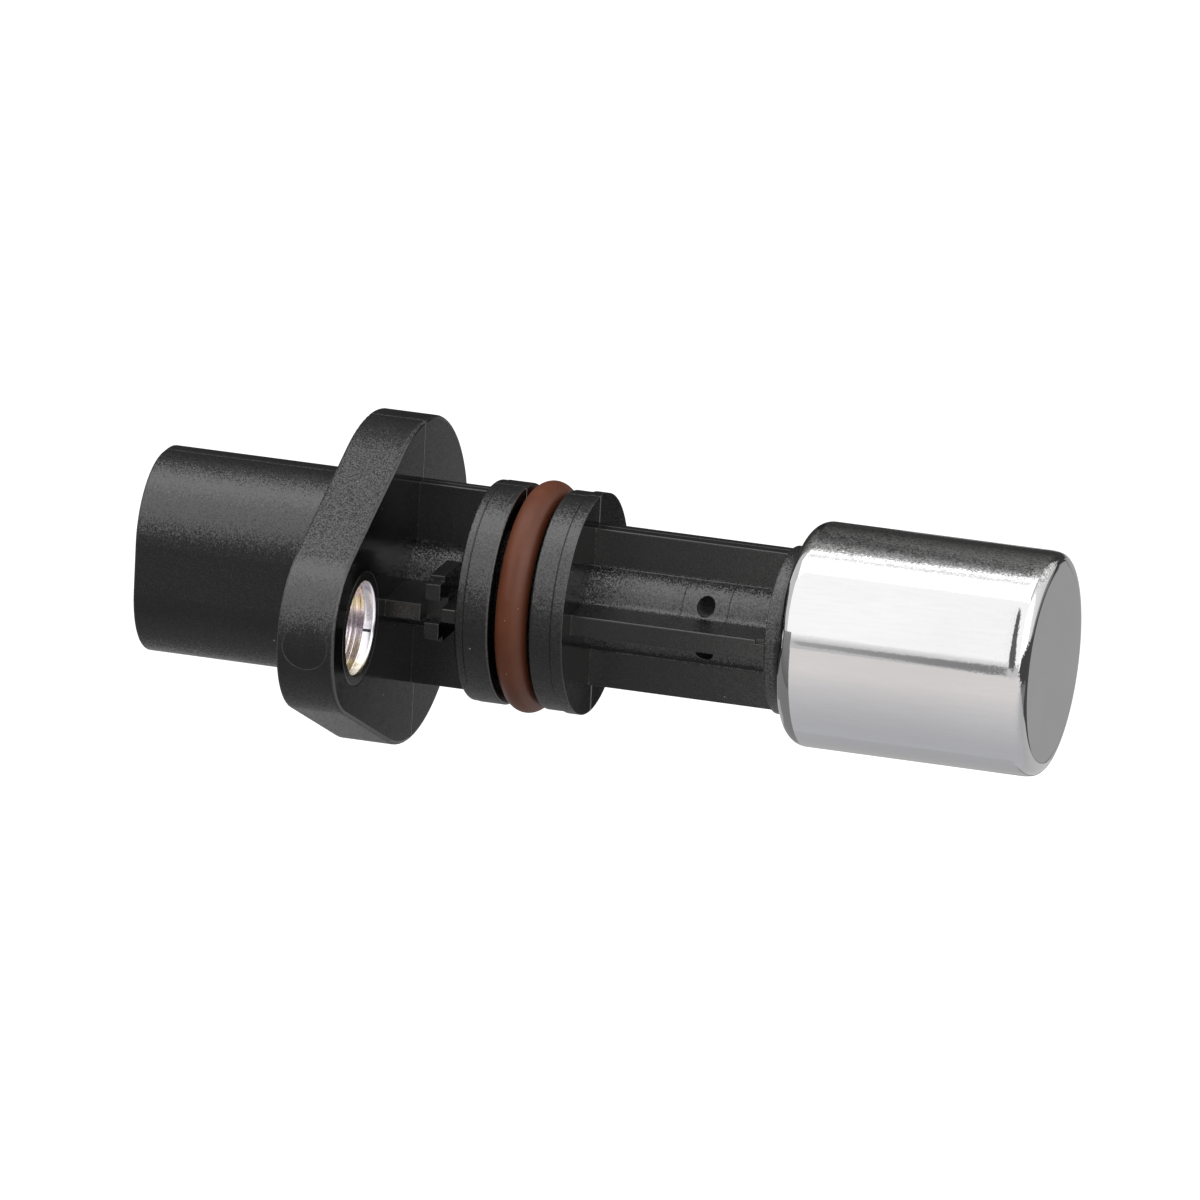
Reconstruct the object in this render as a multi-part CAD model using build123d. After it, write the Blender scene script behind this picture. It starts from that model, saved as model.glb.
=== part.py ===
from build123d import *
import math
import os

# A crankshaft position sensor, in millimetres.
# The sensor's axis is X. The flange's seating face is at x = 0 on that axis, and the tip points to +X.
# The bolt ear points to -Y, and the mould parts on the plane y = 0, so the tall fins stand along Z.

# Flange and bolt ear
flange_thickness = 5.55
lobe_radius = 15.55
ear_radius = 8.2
bolt_offset = 17.35
flange_edge_round = 0.35

# Bush that takes the bolt's clamping load
bush_bore_radius = 4.3
bush_wall = 1.04
bush_groove_width = 1.6
bush_groove_depth = 0.3
bush_chamfer = 0.2
bush_edge_chamfer = 0.06

# Mark that the ejector pin leaves on the end of the ear
ejector_radius = 2.15
ejector_depth = 0.05

# Connector shroud
shroud_half_width = 7.9
shroud_half_height = 9.63
shroud_corner = 7.28
shroud_length = 19.85
shroud_drop = 0.15
shroud_wall = 1.5
shroud_floor = 4.05
shroud_mouth_round = 0.3

# Keys inside the shroud, which let the plug in one way round
key_height = 0.8
key_width = 1.1
key_spacing = 5.0
key_length = 12.0

# Latch ramp and its two rails, on the side away from the bolt ear
ramp_width = 5.0
ramp_height = 1.5
ramp_length = 4.2
ramp_crest = 1.0
ramp_setback = 4.6
rail_width = 1.1
rail_length = 12.5
rail_gap = 1.4

# Round core of the neck and stem
core_radius = 4.15
fin_root_round = 0.12
fin_edge_round = 0.1

# Neck between the flange and the rear land
neck_length = 6.85
neck_fin_half_height = 9.82
neck_fin_thickness = 1.7
neck_rib_reach = 10.05
neck_rib_tip_half = 0.81
neck_rib_length = 3.43

# Cross-shaped relief on the neck
cross_web_width = 1.45
cross_gap = 0.17
cross_reach = 9.3
cross_floor = 8.0
cross_window_half = 1.1
cross_arm_height = 2.65
cross_step_reach = 7.95
cross_step_height = 3.15
cross_tongue_half = 0.63
cross_tongue_gap = 0.45

# Lands and seal groove
land_radius = 10.45
land_step = 0.12
land_width = 3.3
land_edge_round = 0.25
groove_width = 3.9
front_land_band = 1.15
rear_land_band = 0.83
rear_land_step = 0.05

# Rubber seal ring
ring_section = 3.0
ring_mid_radius = 9.43
ring_floor_gap = 0.02

# Stem between the front land and the tip
stem_length = 18.73
stem_fin_half_height = 7.68
stem_fin_thickness = 2.1
stem_rib_reach = 7.7
stem_rib_tip_half = 0.95
rib_root_round = 0.8
rib_notch_length = 0.9
rib_notch_depth = 0.35
fin_crown = 0.05
rib_draft = 0.066

# Holes that tooling pins leave in the stem
pin_hole_radius = 0.87
pin_hole_offset = 2.2
pin_hole_from_land = 11.75
pin_hole_depth = 2.3

# Drawn cap over the tip
cap_radius = 10.55
cap_wall = 0.45
cap_length = 24.7
tip_round = 1.3
swage_round = 1.7
swage_angle = 25.0
collar_radius = 7.9
collar_width = 1.0
collar_edge_round = 0.15
lip_clearance = 0.03

# Inner carrier
rod_radius = 2.6
rod_tail = 5.6
paddle_half_height = 5.4
paddle_half_thickness = 1.6
nose_gap = 0.45
nose_wall = 1.7
nose_flat = 8.5
pocket_half_width = 6.1
pocket_start = 2.1

# Terminals and leads, stamped from one strip
blade_width = 1.5
blade_length = 8.0
blade_pitch = 4.0
blade_tip_length = 1.0
blade_tip_share = 0.35
lead_thickness = 0.64
lead_width = 0.9
lead_pitch = 1.5
lead_splay_start = 1.4
lead_splay_spare = 0.5
lead_jog = 2.0
lead_jog_length = 2.0
lead_end_overlap = 2.8

# Circuit
board_length = 12.0
board_thickness = 0.8
chip_length = 5.0
chip_width = 4.0
chip_height = 1.5
chip_from_board_start = 4.8
passive_length = 2.0
passive_width = 1.25
passive_height = 0.8
passive_cap_length = 0.4
passive_cap_height = 0.05
passive_offset = 4.0
passive_rows = (1.2, 4.6, 7.4)

# Sensing elements, magnet and pole plate
element_thickness = 1.2
element_height = 4.0
element_width = 4.0
element_pitch = 4.6
element_chamfer = 0.3
element_leg_width = 0.4
element_leg_thickness = 0.3
element_leg_pitch = 1.27
element_leg_overlap = 1.5
magnet_length = 4.8
magnet_width = 10.0
magnet_height = 4.7
pole_thickness = 1.0

# Places along the axis that follow from the sizes above
shroud_mouth_x = -flange_thickness - shroud_length
shroud_floor_x = -flange_thickness - shroud_floor
rear_land_x = neck_length
groove_x = rear_land_x + land_width
front_land_x = groove_x + groove_width
stem_x = front_land_x + land_width
collar_x = stem_x + stem_length
cap_lip_x = collar_x + collar_width
cap_tip_x = cap_lip_x + cap_length
cap_inner_tip_x = cap_tip_x - cap_wall
nose_x = cap_inner_tip_x - nose_gap
pocket_x = cap_lip_x + pocket_start
pocket_end_x = nose_x - nose_wall
bush_radius = bush_bore_radius + bush_wall
board_face_y = lead_jog + lead_thickness / 2
board_end_x = pocket_x + board_length
leg_face_y = board_face_y - element_leg_thickness


def disc(x, length, radius):
    """A solid cylinder on the sensor's axis, from x towards the tip."""
    return Plane.YZ.offset(x) * Cylinder(radius, length, align=(Align.CENTER, Align.CENTER, Align.MIN))


def block(x0, x1, y0, y1, z0, z1):
    """A rectangular solid between two corners."""
    centre = ((x0 + x1) / 2, (y0 + y1) / 2, (z0 + z1) / 2)
    return Pos(*centre) * Box(x1 - x0, y1 - y0, z1 - z0)


def section(x, length, points, edge_round=0):
    """A solid with a polygon of (y, z) points as its section, from x towards the tip."""
    outline = make_face(Polyline(*points, close=True))
    if edge_round:
        corners = [v for v in outline.vertices() if abs(v.X) > edge_round]
        outline = fillet(corners, edge_round)
    return extrude(Plane.YZ.offset(x) * outline, length)


def four_ways(points):
    """A closed outline from the points of one quarter, which run from the y axis round to the z axis."""
    upper = points + [(-y, z) for y, z in reversed(points) if y > 0]
    return upper + [(-y, -z) for y, z in upper]


def side_profile(points):
    """A face in the XY plane from its points."""
    return make_face(Polyline(*points, close=True))


def edges_at(solid, x):
    """The edges of a solid that lie in the plane at x."""
    return solid.edges().filter_by_position(Axis.X, x - 0.001, x + 0.001)


def rings_of(edges, radius):
    """Those edges that are circles of the given radius."""
    return [edge for edge in edges.filter_by(GeomType.CIRCLE) if abs(edge.radius - radius) < 0.001]


def flange_outline():
    """The round lobe and the ear, joined by their common tangents."""
    lobe = Circle(lobe_radius)
    ear = Pos(-bolt_offset, 0) * Circle(ear_radius)
    return make_hull(lobe.edges() + ear.edges())


def make_flange():
    """The flange plate, with both its outlines slightly rounded and the ejector's mark on its ear."""
    plate = extrude(Plane.YZ * flange_outline(), -flange_thickness)
    rims = edges_at(plate, 0) + edges_at(plate, -flange_thickness)
    plate = fillet(rims, flange_edge_round)
    pin = Plane.XZ.offset(bolt_offset) * Cylinder(
        ejector_radius,
        2 * ear_radius,
        align=(Align.CENTER, Align.CENTER, Align.MIN),
    )
    under_mark = disc(-flange_thickness, flange_thickness, ear_radius - ejector_depth)
    mark = Pos(-flange_thickness / 2, 0, 0) * pin - Pos(0, -bolt_offset, 0) * under_mark
    return plate - mark


def bush_envelope(bore):
    """The bush's outer form, with its retaining groove, and its bore where that is asked for."""
    mid = -flange_thickness / 2
    half_groove = bush_groove_width / 2
    waist = bush_radius - bush_groove_depth
    points = [
        (0, 0),
        (0, bush_radius),
        (mid + half_groove, bush_radius),
        (mid + half_groove, waist),
        (mid - half_groove, waist),
        (mid - half_groove, bush_radius),
        (-flange_thickness, bush_radius),
        (-flange_thickness, 0),
    ]
    body = Pos(0, -bolt_offset, 0) * revolve(side_profile(points), Axis.X)
    if bore:
        hole = Pos(0, -bolt_offset, 0) * disc(-flange_thickness, flange_thickness, bush_bore_radius)
        body = body - hole
        ends = edges_at(body, 0) + edges_at(body, -flange_thickness)
        body = chamfer(rings_of(ends, bush_bore_radius), bush_chamfer)
        ends = edges_at(body, 0) + edges_at(body, -flange_thickness)
        body = chamfer(rings_of(ends, bush_radius), bush_edge_chamfer)
    return body


def shroud_section(inset):
    """The shroud's rounded section, or its inner face where an inset is given."""
    return Pos(0, -shroud_drop) * RectangleRounded(
        2 * (shroud_half_width - inset),
        2 * (shroud_half_height - inset),
        shroud_corner - inset,
    )


def make_shroud():
    """The connector shroud with its keys inside and the latch ramp and rails outside."""
    barrel = extrude(Plane.YZ.offset(-flange_thickness) * shroud_section(0), -shroud_length)
    barrel = fillet(edges_at(barrel, shroud_mouth_x), shroud_mouth_round)
    well_depth = shroud_length - shroud_floor
    well = extrude(Plane.YZ.offset(shroud_floor_x) * shroud_section(shroud_wall), -well_depth)
    shroud = barrel - well
    inner_y = shroud_half_width - shroud_wall
    root_y = inner_y + shroud_wall / 2
    key_x = shroud_floor_x - key_length
    for z in (-key_spacing / 2, key_spacing / 2):
        low_z = z - key_width / 2
        shroud += block(key_x, shroud_floor_x, -root_y, key_height - inner_y, low_z, low_z + key_width)
    low_z = key_spacing / 2
    shroud += block(key_x, shroud_floor_x, inner_y - key_height, root_y, low_z, low_z + key_width)
    return shroud + make_latch()


def make_latch():
    """The ramp that the plug's latch rides over, between two rails."""
    base_y = shroud_half_width - shroud_wall / 2
    top_y = shroud_half_width + ramp_height
    front_x = shroud_mouth_x + ramp_setback
    back_x = front_x + ramp_length
    ramp = [
        (front_x, base_y),
        (front_x, shroud_half_width),
        (back_x - ramp_crest, top_y),
        (back_x, top_y),
        (back_x, base_y),
    ]
    latch = extrude(side_profile(ramp), ramp_width / 2, both=True)
    for side in (-1, 1):
        z_near = side * (ramp_width / 2 + rail_gap)
        z_far = z_near + side * rail_width
        rail = block(
            shroud_mouth_x + shroud_mouth_round,
            shroud_mouth_x + rail_length,
            base_y - shroud_wall / 4,
            top_y,
            min(z_near, z_far),
            max(z_near, z_far),
        )
        latch += rail
    return Pos(0, 0, -shroud_drop) * latch


def fin_section(half_height, thickness):
    """A tall fin whose top and bottom fall away slightly from the parting plane."""
    return four_ways([(thickness / 2, half_height - fin_crown), (0, half_height)])


def rib_section(reach, tip_half):
    """A level rib that thickens with draft towards the core."""
    return four_ways([(reach, tip_half), (0, tip_half + reach * rib_draft)])


def make_cross():
    """The cross-shaped relief: a stepped web across the rib, with a square window in its middle."""
    web_x = neck_rib_length + cross_gap
    web = section(
        web_x,
        cross_web_width,
        four_ways([
            (cross_reach, cross_window_half),
            (cross_reach, cross_arm_height),
            (cross_step_reach, cross_arm_height),
            (cross_step_reach, cross_step_height),
        ]),
    )
    tongue_x = web_x + cross_web_width + cross_tongue_gap
    middle = section(
        neck_rib_length,
        tongue_x - neck_rib_length,
        four_ways([(cross_floor, cross_window_half)]),
    )
    web_end_x = web_x + cross_web_width
    window = block(web_x, web_end_x, cross_floor, cross_reach, -cross_window_half, cross_window_half)
    tongue_section = rib_section(neck_rib_reach, cross_tongue_half)
    tongue = section(tongue_x, neck_length - tongue_x, tongue_section, fin_edge_round)
    return web - window - mirror(window, Plane.XZ) + middle + tongue


def make_neck():
    """The neck: round core, tall fin, level rib and the cross-shaped relief."""
    neck = disc(0, neck_length, core_radius)
    fins = fin_section(neck_fin_half_height, neck_fin_thickness)
    ribs = rib_section(neck_rib_reach, neck_rib_tip_half)
    neck += section(0, neck_length, fins, fin_edge_round)
    neck += section(0, neck_rib_length, ribs, fin_edge_round)
    return neck + make_cross()


def make_lands():
    """The two lands and the floor of the groove between them."""
    rear = disc(rear_land_x, rear_land_band, land_radius - rear_land_step)
    rear = fillet(edges_at(rear, rear_land_x), land_edge_round)
    rear_rim = disc(rear_land_x + rear_land_band, land_width - rear_land_band, land_radius)
    rear += fillet(edges_at(rear_rim, groove_x), land_edge_round)
    floor_radius = ring_mid_radius - ring_section / 2 - ring_floor_gap
    floor = disc(groove_x, groove_width, floor_radius)
    step_x = stem_x - front_land_band
    front = disc(front_land_x, land_width, land_radius - land_step)
    front = fillet(edges_at(front, front_land_x), land_edge_round)
    front += disc(step_x, stem_x - step_x, land_radius)
    return rear + floor + front


def root_edges(stem, beside_fin):
    """The long edges where the fins, or else the ribs, meet the round core."""
    long_edges = stem.edges().filter_by(Axis.X)
    on_core = [e for e in long_edges if abs(math.hypot(e.center().Y, e.center().Z) - core_radius) < 0.01]
    return [e for e in on_core if (abs(e.center().Z) > abs(e.center().Y)) == beside_fin]


def make_stem():
    """The stem: round core with crossed fins and ribs, and the holes that the tooling pins leave."""
    stem = disc(stem_x, stem_length, core_radius)
    fins = fin_section(stem_fin_half_height, stem_fin_thickness)
    ribs = rib_section(stem_rib_reach, stem_rib_tip_half)
    stem += section(stem_x, stem_length, fins, fin_edge_round)
    stem += section(stem_x, stem_length, ribs, fin_edge_round)
    stem = fillet(root_edges(stem, beside_fin=True), fin_root_round)
    stem = fillet(root_edges(stem, beside_fin=False), rib_root_round)
    notch_x = collar_x - rib_notch_length
    ledge_z = stem_rib_tip_half - rib_notch_depth
    notch = block(notch_x, collar_x, stem_rib_reach - rib_notch_depth, cap_radius, ledge_z, cap_radius)
    stem -= notch + mirror(notch, Plane.XZ)
    hole_x = stem_x + pin_hole_from_land
    for side in (-1, 1):
        for z in (-pin_hole_offset, pin_hole_offset):
            pin = Plane.XZ.offset(-side * core_radius) * Cylinder(pin_hole_radius, 2 * pin_hole_depth)
            stem -= Pos(hole_x, 0, z) * pin
    return stem


def tail_envelope():
    """The carrier's rod and the paddle that spreads the leads out to the blades."""
    rod_start = shroud_floor_x + rod_tail
    paddle = block(
        shroud_floor_x,
        rod_start,
        -paddle_half_thickness,
        paddle_half_thickness,
        -paddle_half_height,
        paddle_half_height,
    )
    return paddle + disc(rod_start, collar_x - rod_start, rod_radius)


def make_housing():
    """The black moulding, from the connector's mouth to the end of the stem."""
    body = make_flange() + make_shroud() + make_neck() + make_lands() + make_stem()
    return body - bush_envelope(bore=False) - tail_envelope()


def cap_face(inset):
    """Half the cap's outline down to the axis, drawn inside its outer face by the inset."""
    slope = math.radians(swage_angle)
    lip_radius = collar_radius + lip_clearance
    round_radius = cap_radius - swage_round
    cone_height = round_radius + swage_round * math.sin(slope) - lip_radius
    swage_x = cap_lip_x + cone_height * math.tan(slope) + swage_round * math.cos(slope)
    swage_arc = swage_round - inset
    cone_top = (swage_x - swage_arc * math.cos(slope), round_radius + swage_arc * math.sin(slope))
    drop = cone_top[1] - lip_radius + cap_wall
    lip = (cone_top[0] - drop * math.tan(slope), lip_radius - cap_wall)
    wall_start = (swage_x, round_radius + swage_arc)
    tip_arc = tip_round - inset
    wall_end = (cap_tip_x - tip_round, cap_radius - inset)
    end_face = (cap_tip_x - inset, cap_radius - tip_round)
    outline = [
        Line((lip[0], 0), lip),
        Line(lip, cone_top),
        RadiusArc(cone_top, wall_start, swage_arc),
        Line(wall_start, wall_end),
        RadiusArc(wall_end, end_face, tip_arc),
        Line(end_face, (end_face[0], 0)),
        Line((end_face[0], 0), (lip[0], 0)),
    ]
    return make_face(outline)


def cap_inside():
    """The room inside the cap."""
    return revolve(cap_face(cap_wall), Axis.X)


def make_cap():
    """The drawn cap, swaged inwards at its rear over the carrier's collar."""
    shell = revolve(cap_face(0), Axis.X) - cap_inside()
    mouth = disc(collar_x, cap_length / 2, collar_radius + lip_clearance)
    return shell - mouth


def lead_polygon(blade_z, lead_z):
    """One lead seen from the side: a pointed blade, a splay, and a narrow strip to the board."""
    tip_x = shroud_floor_x - blade_length
    splay_x = shroud_floor_x + lead_splay_start
    narrow_x = splay_x + abs(blade_z - lead_z) + lead_splay_spare
    end_x = pocket_x + lead_end_overlap
    tip_half = blade_width * blade_tip_share / 2
    right = [
        (tip_x, blade_z + tip_half),
        (tip_x + blade_tip_length, blade_z + blade_width / 2),
        (splay_x, blade_z + blade_width / 2),
        (narrow_x, lead_z + lead_width / 2),
        (end_x, lead_z + lead_width / 2),
    ]
    left = [
        (tip_x, blade_z - tip_half),
        (tip_x + blade_tip_length, blade_z - blade_width / 2),
        (splay_x, blade_z - blade_width / 2),
        (narrow_x, lead_z - lead_width / 2),
        (end_x, lead_z - lead_width / 2),
    ]
    return right + list(reversed(left))


def lead_profile():
    """A lead seen along Z: its thickness, the blade's taper, and the step up to the board."""
    tip_x = shroud_floor_x - blade_length
    half = lead_thickness / 2
    tip_half = half * blade_tip_share
    jog_x = pocket_x - lead_jog_length
    end_x = pocket_x + lead_end_overlap
    over = [
        (tip_x, tip_half),
        (tip_x + blade_tip_length, half),
        (jog_x, half),
        (pocket_x, lead_jog + half),
        (end_x, lead_jog + half),
    ]
    under = [
        (tip_x, -tip_half),
        (tip_x + blade_tip_length, -half),
        (jog_x, -half),
        (pocket_x, lead_jog - half),
        (end_x, lead_jog - half),
    ]
    return over + list(reversed(under))


def make_lead(place):
    """One terminal with its lead. Place is -1, 0 or 1 across the connector."""
    outline = lead_polygon(place * blade_pitch, place * lead_pitch)
    plan = make_face(Plane.XZ * Polyline(*outline, close=True))
    strip = extrude(plan, cap_radius, both=True)
    profile = extrude(side_profile(lead_profile()), cap_radius, both=True)
    return strip & profile


def make_carrier(leads):
    """The inner moulding: paddle, rod, collar and the tray that holds the circuit in the cap."""
    front = cap_inside() - disc(nose_x, cap_tip_x - nose_x, cap_radius)
    lip_depth = cap_wall / math.cos(math.radians(swage_angle))
    collar = disc(collar_x, collar_width + lip_depth, collar_radius)
    collar = fillet(edges_at(collar, collar_x), collar_edge_round)
    body = tail_envelope() + collar + front
    deep = board_face_y + board_thickness
    magnet_half = magnet_width / 2
    body -= block(pocket_x, board_end_x, -cap_radius, deep, -pocket_half_width, pocket_half_width)
    body -= block(board_end_x, pocket_end_x, -cap_radius, board_face_y, -magnet_half, magnet_half)
    body -= block(pocket_x, cap_tip_x, -cap_radius, -nose_flat, -cap_radius, cap_radius)
    for lead in leads:
        body -= lead
    return body


def make_board():
    """The circuit's substrate, let into the tray's floor."""
    deep = board_face_y + board_thickness
    return block(pocket_x, board_end_x, board_face_y, deep, -pocket_half_width, pocket_half_width)


def make_chip():
    """The signal chip on the board."""
    start = pocket_x + chip_from_board_start
    half = chip_width / 2
    return block(start, start + chip_length, board_face_y - chip_height, board_face_y, -half, half)


def make_passive(row, side):
    """A chip capacitor, resistor or diode: a body between two end caps of slightly greater height."""
    start = pocket_x + passive_rows[row]
    z = side * passive_offset
    low = board_face_y - passive_height
    half = passive_width / 2
    inset = passive_cap_height
    slim = half - inset
    body = block(start, start + passive_length, low + inset, board_face_y, z - slim, z + slim)
    for end_x in (start, start + passive_length - passive_cap_length):
        body += block(end_x, end_x + passive_cap_length, low, board_face_y, z - half, z + half)
    return body


def make_element(side):
    """A sensing element that stands behind the nose, with three legs bent back to the board."""
    z = side * element_pitch / 2
    back_x = pocket_end_x - element_thickness
    body_top = leg_face_y - element_leg_thickness
    package = block(
        back_x,
        pocket_end_x,
        body_top - element_height,
        body_top,
        z - element_width / 2,
        z + element_width / 2,
    )
    package = chamfer(package.edges().filter_by(Axis.Y).group_by(Axis.X)[-1], element_chamfer)
    mid_x = back_x + element_thickness / 2
    half = element_leg_thickness / 2
    path = [
        (mid_x - half, body_top),
        (mid_x + half, body_top),
        (mid_x + half, board_face_y),
        (board_end_x - element_leg_overlap, board_face_y),
        (board_end_x - element_leg_overlap, leg_face_y),
        (mid_x - half, leg_face_y),
    ]
    for place in (-1, 0, 1):
        leg = extrude(side_profile(path), element_leg_width / 2, both=True)
        package += Pos(0, 0, z + place * element_leg_pitch) * leg
    return package


def make_magnet():
    """The bias magnet behind the sensing elements."""
    end_x = pocket_end_x - element_thickness
    half = magnet_width / 2
    return block(end_x - magnet_length, end_x, leg_face_y - magnet_height, leg_face_y, -half, half)


def make_pole():
    """The soft-iron plate on the magnet's rear face."""
    end_x = pocket_end_x - element_thickness - magnet_length
    half = magnet_width / 2
    return block(end_x - pole_thickness, end_x, leg_face_y - magnet_height, leg_face_y, -half, half)


def make_potting(inner_pieces):
    """The resin that fills what is left of the cap's inside."""
    fill = cap_inside() - disc(collar_x, pocket_x - collar_x, cap_radius)
    for piece in inner_pieces:
        fill -= piece
    return fill


def make_ring():
    """The rubber seal ring in its groove."""
    centre_x = groove_x + groove_width / 2
    return Plane.YZ.offset(centre_x) * Torus(ring_mid_radius, ring_section / 2)


leads = {
    "terminal_supply": make_lead(-1),
    "terminal_signal": make_lead(0),
    "terminal_ground": make_lead(1),
}
nodes = {
    "housing": make_housing(),
    "compression_limiter": bush_envelope(bore=True),
    "o_ring": make_ring(),
    "tip_cap": make_cap(),
    "element_carrier": make_carrier(leads.values()),
    "circuit_board": make_board(),
    "signal_chip": make_chip(),
    "protection_diode": make_passive(0, -1),
    "pull_up_resistor": make_passive(0, 1),
    "supply_capacitor": make_passive(1, -1),
    "ground_capacitor": make_passive(1, 1),
    "signal_capacitor": make_passive(2, -1),
    "series_resistor": make_passive(2, 1),
    "sensing_element_upper": make_element(1),
    "sensing_element_lower": make_element(-1),
    "bias_magnet": make_magnet(),
    "pole_plate": make_pole(),
}
nodes.update(leads)
outside = ("housing", "compression_limiter", "o_ring", "tip_cap")
nodes["potting"] = make_potting([nodes[name] for name in nodes if name not in outside])

os.makedirs("parts", exist_ok=True)
for name, solid in nodes.items():
    export_step(solid, f"parts/{name}.step")
    print(f"{name}: {solid.volume:.2f} mm3")
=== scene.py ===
"""Looks of a crankshaft position sensor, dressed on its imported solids.

Blender's lengths are metres. Names that end in _mm or _MM are millimetres, and so is every place that a
material reads.
"""

import math

import bmesh
import bpy
from mathutils import Matrix, Vector


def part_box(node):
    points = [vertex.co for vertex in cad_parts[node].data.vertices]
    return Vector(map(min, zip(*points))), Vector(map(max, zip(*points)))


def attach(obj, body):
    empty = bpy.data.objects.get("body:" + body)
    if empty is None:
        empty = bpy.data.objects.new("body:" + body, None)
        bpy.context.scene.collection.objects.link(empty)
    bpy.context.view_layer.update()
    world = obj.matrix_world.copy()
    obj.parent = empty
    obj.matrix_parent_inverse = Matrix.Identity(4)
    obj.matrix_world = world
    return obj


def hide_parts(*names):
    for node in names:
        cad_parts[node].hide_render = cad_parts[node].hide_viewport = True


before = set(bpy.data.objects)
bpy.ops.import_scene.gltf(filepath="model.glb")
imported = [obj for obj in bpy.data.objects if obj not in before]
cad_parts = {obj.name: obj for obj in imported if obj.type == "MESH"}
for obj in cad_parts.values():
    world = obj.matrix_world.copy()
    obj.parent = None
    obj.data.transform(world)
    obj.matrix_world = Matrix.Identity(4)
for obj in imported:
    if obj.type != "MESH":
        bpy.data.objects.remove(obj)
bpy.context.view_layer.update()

MM = 0.001

# Camera
CAMERA_AZIMUTH = 16.461
CAMERA_ELEVATION = 16.540
CAMERA_ROLL = 2.820
CAMERA_DISTANCE = 1.5
CAMERA_LENS = 481.5
AIM_RIGHT_MM = 17.062
AIM_UP_MM = -1.019

# Studio. The room and the floor look white, and light the object at levels of their own
ROOM_LIGHT = 0.27
FLOOR_GLOW = 0.9
FLOOR_DROP = 0.10
FLOOR_SPAN = 8.0
NEAR_CARD_RADIUS = 0.06

# Housing: where its finish changes, along the sensor's axis, out from it, or up
NECK_MM = (0.02, 6.83)
STEM_MM = (17.4, 36.1)
CORE_EDGE_MM = (4.25, 4.4)
RIB_TOP_MM = (0.955, 2.2)
PIN_HOLE_EDGE_MM = (3.9, 4.08)
LAND_RIM_MM = 10.0
LAND_LINES_MM = (7.68, 16.18)
LAND_LINE_WIDTH_MM = 0.12
INSERT_LINES_MM = (26.80, 31.30)
INSERT_LINE_WIDTH_MM = 0.08
LINE_BLUR_MM = 0.03

# Ejector pin's mark on the end of the bolt ear
EJECTOR_MM = (-2.775, -25.55, 0.0)
EJECTOR_RADIUS_MM = 2.15
EJECTOR_LINE_WIDTH_MM = 0.09
EAR_END_MM = (-24.0, -24.6)

# Carrier: how far out from the axis its buried surfaces end
CARRIER_BURIED_MM = (5.0, 6.0)

# Cap. Each bend of the tip's corner is a radius and the angle at which the bend ends
CAP_WALL_MM = 0.45
CAP_TIP_BENDS = ((4.0, 12.0), (0.95, 72.0), (3.0, 90.0))
CAP_SWAGE_ROUND_MM = 1.7
CAP_SWAGE_ANGLE = 25.0
COLLAR_RADIUS_MM = 7.93
CAP_LIP_EASE_MM = 0.06

# Where the cap's grain grows, its corner begins and its end face begins, and how high its scuffed top begins
CAP_GRAIN_MM = (48.0, 60.2)
CAP_CORNER_MM = (60.2, 60.6)
CAP_FACE_MM = (61.55, 61.75)
CAP_SCUFF_MM = (8.6, 9.5)

# Bush
BORE_RADIUS_MM = 4.3
BUSH_RADIUS_MM = 5.34
BUSH_GROOVE_WIDTH_MM = 1.6
BUSH_GROOVE_DEPTH_MM = 0.3
BUSH_CHAMFER_MM = 0.2
BUSH_EDGE_MM = 0.10
BUSH_ENTRY_MM = 0.95
BUSH_ENTRY_STEP_MM = 0.03
BUSH_TURNS = 22
BUSH_TURN_DEPTH_MM = 0.025
BUSH_FRONT_EDGE_MM = 0.05

# Where the bush's tone changes: behind its entry band, up its bore where painted shade below meets painted
# light above, towards its top and foot, at its end face, which is painted dark as shade
BUSH_DEEP_MM = (-1.1, -0.9)
BUSH_ENTRY_SHADE_MM = (-1.2, -0.4)
BUSH_YELLOW_MM = (3.2, 4.15)
BUSH_FACE_MM = (-0.03, -0.01)

# Slit of the bush, which shows in its entry band on the side towards the sensor's axis
SLIT_HEIGHT_MM = (-1.52, -1.26)
SLIT_ALONG_MM = (-1.05, -0.30)
SLIT_SIDE_MM = -14.5

# Seal ring
RING_SECTION_MM = 3.0
RING_FLASH_MM = 0.03

# Plated ends of the chip components
CHIP_BAND_MM = 0.4


def metres(*lengths_mm):
    """Millimetres as a vector in metres."""
    return Vector(lengths_mm) * MM


def put(tree, kind, inputs=None, **settings):
    """Adds a node. Each input is given by its name or number and takes a value or another node's output."""
    node = tree.nodes.new(kind)
    for name, value in settings.items():
        setattr(node, name, value)
    for key, value in (inputs or {}).items():
        if isinstance(value, bpy.types.NodeSocket):
            tree.links.new(value, node.inputs[key])
        else:
            node.inputs[key].default_value = value
    return node


def calc(tree, operation, *values):
    """The result of a Math node."""
    return put(tree, "ShaderNodeMath", dict(enumerate(values)), operation=operation).outputs[0]


def vector_calc(tree, operation, *vectors):
    """The vector that a Vector Math node makes."""
    return put(tree, "ShaderNodeVectorMath", dict(enumerate(vectors)), operation=operation).outputs[0]


def scaled(tree, vector, factor):
    """A vector made longer or shorter by a factor."""
    return put(tree, "ShaderNodeVectorMath", {0: vector, 3: factor}, operation="SCALE").outputs[0]


def length(tree, vector):
    """The length of a vector."""
    return put(tree, "ShaderNodeVectorMath", {0: vector}, operation="LENGTH").outputs["Value"]


def split(tree, vector):
    """The X, Y and Z of a vector, each by its name."""
    return put(tree, "ShaderNodeSeparateXYZ", {"Vector": vector}).outputs


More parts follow.
